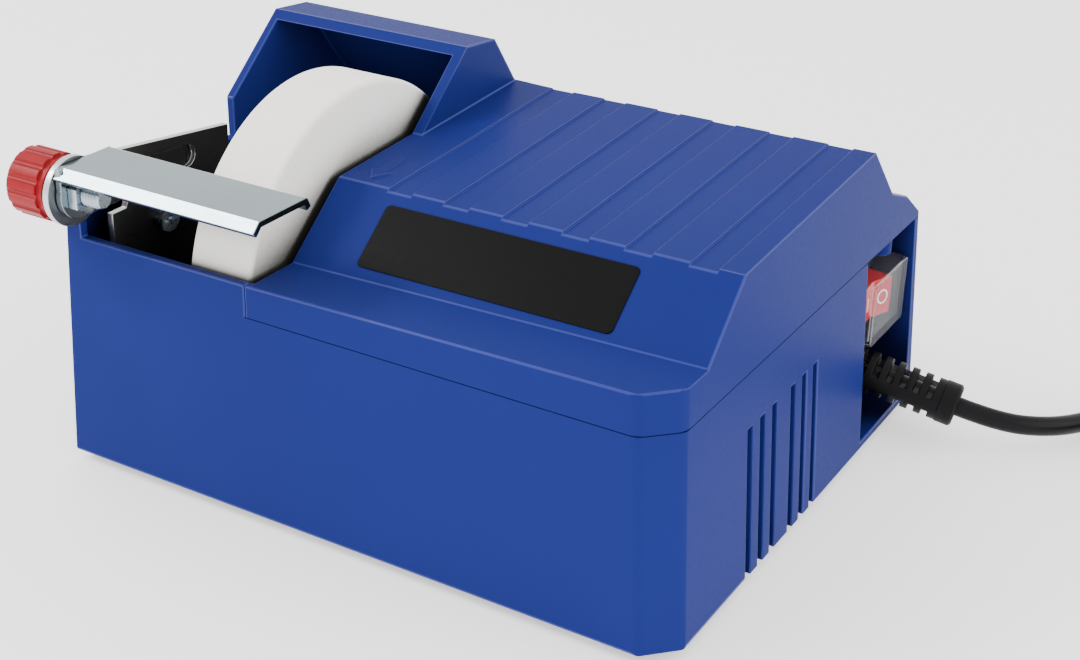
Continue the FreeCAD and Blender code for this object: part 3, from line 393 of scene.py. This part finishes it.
def refined(node, body, slot, mat, width, segs=2, special=None, angle=14.0, share=0.34, name=None, floor=0.00006, extra=(), paint=None, move=None):
    """A copy of a node's mesh with its plane faces joined and its edges rounded."""
    bm = bmesh.new()
    bm.from_mesh(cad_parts[node].data)
    bmesh.ops.remove_doubles(bm, verts=bm.verts, dist=1e-6)
    bmesh.ops.dissolve_limit(bm, angle_limit=math.radians(0.4), verts=bm.verts, edges=bm.edges, use_dissolve_boundaries=False)
    if move:
        for v in bm.verts:
            move(v)
    bm.normal_update()
    bm.edges.ensure_lookup_table()
    bm.edges.index_update()
    bm.faces.index_update()
    thin = {}
    for f in bm.faces:
        longest = max(e.calc_length() for e in f.edges)
        thin[f.index] = f.calc_area() / max(longest, 1e-9)
    top = width
    want = {}
    for e in bm.edges:
        if len(e.link_faces) != 2:
            continue
        a = e.calc_face_angle(0.0)
        if a < math.radians(angle):
            continue
        w = min(width, share * min(thin[f.index] for f in e.link_faces))
        if special:
            s = special(e, a)
            if s is not None:
                w = s
        w = min(w, 0.42 * max(e.calc_length(), 2e-4) if e.calc_length() < 2e-3 else w)
        if w < floor:
            continue
        want[e.index] = w
        top = max(top, w)
    lay = bm.edges.layers.float.new("bevel_weight_edge")
    for e in bm.edges:
        e[lay] = want.get(e.index, 0.0) / top
        e.smooth = e.index in want or e.calc_face_angle(0.0) < math.radians(angle)
    for f in bm.faces:
        f.smooth = True
    bmesh.ops.triangulate(bm, faces=[f for f in bm.faces if len(f.verts) > 4], quad_method="BEAUTY", ngon_method="BEAUTY")
    me = bpy.data.meshes.new(name or (node + "_finish"))
    bm.to_mesh(me)
    bm.free()
    o = link_obj(name or (node + "_finish"), me, body, slot, mat, node)
    for k in extra:
        me.materials.append(k)
    bv = o.modifiers.new("round", "BEVEL")
    bv.limit_method = "WEIGHT"
    bv.width = top
    bv.segments = segs
    bv.use_clamp_overlap = False
    bv.miter_outer = "MITER_SHARP"
    bv.harden_normals = False
    # the new bevel faces take the second material, which on the housing shells is the painted edge highlight
    if extra:
        bv.material = 1
    wn = o.modifiers.new("normals", "WEIGHTED_NORMAL")
    wn.weight = 60
    wn.keep_sharp = True
    if paint:
        bpy.context.view_layer.update()
        done = bpy.data.meshes.new_from_object(o.evaluated_get(bpy.context.evaluated_depsgraph_get()))
        o.modifiers.clear()
        o.data = done
        for f in done.polygons:
            k = paint(f)
            if k is not None:
                f.material_index = k
    return o


def w2(x, y, z):
    return P(x, y, z)


# ------------------------------------------------------------------ housing shells
def at_mm(e):
    m = (e.verts[0].co + e.verts[1].co) * 0.5
    d = e.verts[1].co - e.verts[0].co
    ln = max(d.length, 1e-9)
    return m.x * 1000 - SX, m.y * 1000 - SY, m.z * 1000 - SZ, abs(d.z) / ln, ln


def outside(x, y):
    return y < 6.5 or y > 156.0 or x > 181.5


def shell_special(e, a):
    x, y, z, up, ln = at_mm(e)
    # the joint line between base and cover is fine
    if abs(z - 58.29) < 0.4 and up < 0.3:
        return 0.00014
    # the two long upright edges of the bevelled front corner are soft
    if up > 0.95 and x > 170 and y < 14 and ln > 0.004 and a < math.radians(60):
        return 0.0018
    return None


def shell_paint(f):
    c, n = f.center, f.normal
    x, y, z = c.x * 1000 - SX, c.y * 1000 - SY, c.z * 1000 - SZ
    # faces in the joint take the painted seam shade
    if abs(z - 58.29) < 0.16 and outside(x, y):
        return 2
    # the front corner's upright bevel faces go back to the plain blue, without the painted edge highlight
    if f.material_index == 1 and x > 168 and y < 16 and abs(n.z) < 0.3:
        return 0
    return None


base = refined("base_housing", "housing", "blue_plastic", mat_blue, 0.00045, 3, shell_special, extra=(mat_blue_edge_highlight, mat_blue_seam_shade), paint=shell_paint)
cover = refined("top_cover", "housing", "blue_plastic", mat_blue, 0.00045, 3, shell_special, extra=(mat_blue_edge_highlight, mat_blue_seam_shade), paint=shell_paint)
label = refined("label_plate", "housing", "label", mat_label, 0.00008, 2)


def boot_draft(v):
    # the soft boot leans back a little at its front side
    x, y = v.co.x * 1000 - SX, v.co.y * 1000 - SY
    if x > 172.0 and y < 134.0:
        v.co.y += 0.0011 * (x - 170.5) / 14.7


boot = refined("switch_boot", "housing", "clear_plastic", mat_clear, 0.00035, 3, move=boot_draft)
swb = refined("switch_body", "housing", "black_plastic", mat_black, 0.0004, 2)
rock = refined("switch_rocker", "rocker", "red_plastic", mat_lens, 0.0005, 3)
relief = refined("strain_relief", "housing", "black_plastic", mat_black, 0.00035, 2)
plug = refined("plug_body", "housing", "cord_pvc", mat_pvc, 0.0005, 2)
tie = refined("coil_tie", "housing", "black_plastic", mat_rubber, 0.0004, 2)
knob = refined("clamp_knob", "knob", "red_plastic", mat_red, 0.00035, 2, None, 24.0)
nut = refined("rest_nut", "rest", "zinc_steel", mat_zinc_nut, 0.0003, 2)
bracket = refined("rest_bracket", "housing", "dark_steel", mat_bracket, 0.00025, 2, None, 24.0)


def bend_special(e, a):
    d = (e.verts[1].co - e.verts[0].co)
    ln = d.length
    if ln > 0.03 and abs(d.x) / ln > 0.98 and math.radians(30) < a < math.radians(75):
        m = (e.verts[0].co + e.verts[1].co) * 0.5
        z = m.z * 1000 - SZ
        return 0.0011 if z > 90.5 else 0.0004
    return None


rest = refined("tool_rest", "rest", "zinc_steel", mat_zinc, 0.00022, 3, bend_special, 24.0)


# ------------------------------------------------------------------ stone: a lathe shape with worn, rounded edges
AY, AZ = 54.42, 54.79
STONE_X0, STONE_X1 = 43.0, 63.0


def lathe(name, prof, n, ay, az):
    vs, fs = [], []
    for j in range(n):
        a = 2.0 * math.pi * j / n
        for x, r in prof:
            vs.append(P(x, ay + r * math.cos(a), az + r * math.sin(a)))
    k = len(prof)
    for j in range(n):
        j2 = (j + 1) % n
        for i in range(k):
            i2 = (i + 1) % k
            fs.append((j * k + i, j * k + i2, j2 * k + i2, j2 * k + i))
    me = bpy.data.meshes.new(name)
    me.from_pydata(vs, [], fs)
    bm = bmesh.new()
    bm.from_mesh(me)
    bmesh.ops.recalc_face_normals(bm, faces=bm.faces)
    for f in bm.faces:
        f.smooth = True
    for e in bm.edges:
        e.smooth = e.calc_face_angle(0.0) < math.radians(40.0)
    bm.to_mesh(me)
    bm.free()
    return me


EDGE_R = 1.5
arc = [(EDGE_R * (1 - math.cos(math.radians(q))), EDGE_R * (1 - math.sin(math.radians(q)))) for q in (0, 15, 30, 45, 60, 75, 90)]
prof = [(STONE_X0, 8.0), (STONE_X1, 8.0), (STONE_X1, 20.2), (STONE_X1, 34.0)]
prof += [(STONE_X1 - u, 50.0 - w) for u, w in arc] + [(53.0, 50.0)] + [(STONE_X0 + u, 50.0 - w) for u, w in reversed(arc)]
prof += [(STONE_X0, 34.0), (STONE_X0, 20.2)]
stone = link_obj("grinding_stone_finish", lathe("grinding_stone_finish", prof, 192, AY, AZ), "spindle", "abrasive", mat_stone, "grinding_stone")

# ------------------------------------------------------------------ clamp stud with its thread
STUD_Y, STUD_Z = -3.4, 83.0
STUD_A, STUD_B, PITCH = 2.7, 24.5, 1.0


def stud_mesh(name):
    n, step = 32, PITCH / 8.0
    rows = int(round((STUD_B - STUD_A) / step))
    vs, fs = [], []
    for i in range(rows + 1):
        x = STUD_A + i * step
        for j in range(n):
            a = 2.0 * math.pi * j / n
            ph = (x / PITCH - j / n) % 1.0
            tri = abs(2.0 * ph - 1.0)
            depth = 0.58 * max(0.0, min(1.0, (tri - 0.12) / 0.76))
            r = 2.97 - depth
            end = min(x - STUD_A, STUD_B - x)
            if end < 0.7:
                r = min(r, 2.25 + end)
            vs.append(P(x, STUD_Y + r * math.cos(a), STUD_Z + r * math.sin(a)))
    for i in range(rows):
        for j in range(n):
            j2 = (j + 1) % n
            fs.append((i * n + j, i * n + j2, (i + 1) * n + j2, (i + 1) * n + j))
    fs.append(tuple(reversed(range(n))))
    fs.append(tuple(rows * n + j for j in range(n)))
    me = bpy.data.meshes.new(name)
    me.from_pydata(vs, [], fs)
    bm = bmesh.new()
    bm.from_mesh(me)
    bmesh.ops.recalc_face_normals(bm, faces=bm.faces)
    for f in bm.faces:
        f.smooth = len(f.verts) == 4
    bm.to_mesh(me)
    bm.free()
    return me


stud = link_obj("clamp_stud_finish", stud_mesh("clamp_stud_finish"), "knob", "zinc_steel", mat_zinc_nut, "clamp_stud")

# ------------------------------------------------------------------ plain O and I marks on the rocker
PX, SW_Y, SW_Z = 174.4, 142.5, 37.5
mat_mark = make_plain("white_mark", (0.85, 0.85, 0.85), 0.4, 0.5, 500.0, 0.03, 0.02)


def rock_pt(x, y, z):
    # the rocker stands tipped by ten degrees about its upright pivot
    a = math.radians(-10.0)
    dx, dy = x - PX, y - SW_Y
    return P(PX + dx * math.cos(a) - dy * math.sin(a), SW_Y + dx * math.sin(a) + dy * math.cos(a), z)


def face_x(y):
    # height of the rocker's face over its hollow middle
    return PX + 6.1 + abs(y - SW_Y) / 7.6 * 1.8


def mark_mesh(name, ring):
    vs, fs = [], []
    up = 0.07
    if ring:
        cy, n = SW_Y + 4.1, 40
        for j in range(n):
            a = 2.0 * math.pi * j / n
            for r, h in ((1.55, -0.05), (1.55, up), (2.05, up), (2.05, -0.05)):
                y, z = cy + r * math.cos(a), SW_Z + r * math.sin(a) * 1.15
                vs.append(rock_pt(face_x(y) + h, y, z))
        for j in range(n):
            j2 = (j + 1) % n
            for i in range(4):
                i2 = (i + 1) % 4
                fs.append((j * 4 + i, j * 4 + i2, j2 * 4 + i2, j2 * 4 + i))
    else:
        cy = SW_Y - 4.1
        for h in (-0.05, up):
            for y, z in ((cy - 0.28, -2.2), (cy + 0.28, -2.2), (cy + 0.28, 2.2), (cy - 0.28, 2.2)):
                vs.append(rock_pt(face_x(y) + h, y, SW_Z + z))
        fs = [(3, 2, 1, 0), (4, 5, 6, 7), (0, 1, 5, 4), (1, 2, 6, 5), (2, 3, 7, 6), (3, 0, 4, 7)]
    me = bpy.data.meshes.new(name)
    me.from_pydata(vs, [], fs)
    bm = bmesh.new()
    bm.from_mesh(me)
    bmesh.ops.recalc_face_normals(bm, faces=bm.faces)
    bm.to_mesh(me)
    bm.free()
    return me


mark_o = link_obj("rocker_mark_off", mark_mesh("rocker_mark_off", True), "rocker", "red_plastic", mat_mark)
mark_i = link_obj("rocker_mark_on", mark_mesh("rocker_mark_on", False), "rocker", "red_plastic", mat_mark)

# ------------------------------------------------------------------ remaining CAD nodes take their finish
for n, mt in (("bottom_plate", mat_black), ("base_screws", mat_steel), ("cover_screws", mat_steel), ("rubber_feet", mat_rubber), ("shaft_seal", mat_rubber),
              ("shaft_bushes", mat_bronze), ("gearbox_plate_front", mat_steel), ("gearbox_plate_rear", mat_steel), ("gearbox_pillars", mat_steel), ("gearbox_screws", mat_steel),
              ("motor_stator", mat_lam), ("motor_windings", mat_copper), ("motor_bearings", mat_bronze), ("motor_end_shield", mat_steel), ("motor_bolts", mat_steel),
              ("motor_spacers", mat_steel), ("terminal_block", mat_nylon), ("inner_leads", mat_pvc), ("bracket_screws", mat_zinc_nut), ("cord_inner_end", mat_pvc),
              ("plug_pins", mat_steel), ("stone_flange_inner", mat_nylon), ("stone_flange_outer", mat_nylon), ("stone_nut", mat_steel),
              ("drive_shaft", mat_steel), ("output_gear", mat_nylon), ("intermediate_gear", mat_nylon), ("intermediate_pinion", mat_steel), ("intermediate_shaft", mat_steel),
              ("motor_rotor", mat_lam), ("motor_shaft", mat_steel), ("motor_pinion", mat_steel), ("cooling_fan", mat_black), ("rest_washer", mat_zinc_nut)):
    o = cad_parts[n]
    o.data.materials.clear()
    o.data.materials.append(mt)
cu.materials.append(mat_pvc)

# ------------------------------------------------------------------ floor, light
fl = bpy.data.meshes.new("floor")
fl.from_pydata([(-6, -6, 0), (6, -6, 0), (6, 6, 0), (-6, 6, 0)], [], [(0, 1, 2, 3)])
floor = bpy.data.objects.new("floor", fl)
bpy.context.scene.collection.objects.link(floor)
fm = Mat("pale_floor", (0.9, 0.9, 0.9), 0.7, 0.0, 0.2)
fm.b.inputs["Emission Color"].default_value = (1.0, 1.0, 1.0, 1.0)
fm.b.inputs["Emission Strength"].default_value = 0.7
fm.roughness(fm.spread(fm.noise(3.0, 3.0), 0.65, 0.75))
fl.materials.append(fm.m)

world = bpy.data.worlds.new("studio")
bpy.context.scene.world = world
world.use_nodes = True
bg = world.node_tree.nodes["Background"]
bg.inputs["Color"].default_value = (1.0, 1.0, 1.0, 1.0)
bg.inputs["Strength"].default_value = 1.9


def area(name, loc, target, size, power, sy=None):
    l = bpy.data.lights.new(name, "AREA")
    l.energy = power
    l.shape = "RECTANGLE"
    l.size = size
    l.size_y = sy or size
    o = bpy.data.objects.new(name, l)
    bpy.context.scene.collection.objects.link(o)
    o.location = loc
    d = Vector(target) - Vector(loc)
    o.rotation_euler = d.to_track_quat("-Z", "Y").to_euler()
    return o


area("key", (-0.756, -0.493, 0.827), (-0.047, -0.084, 0.093), 0.36, 8.5)
area("fill", (1.0, 0.05, 0.55), (0.0, 0.0, 0.05), 0.9, 4.0)
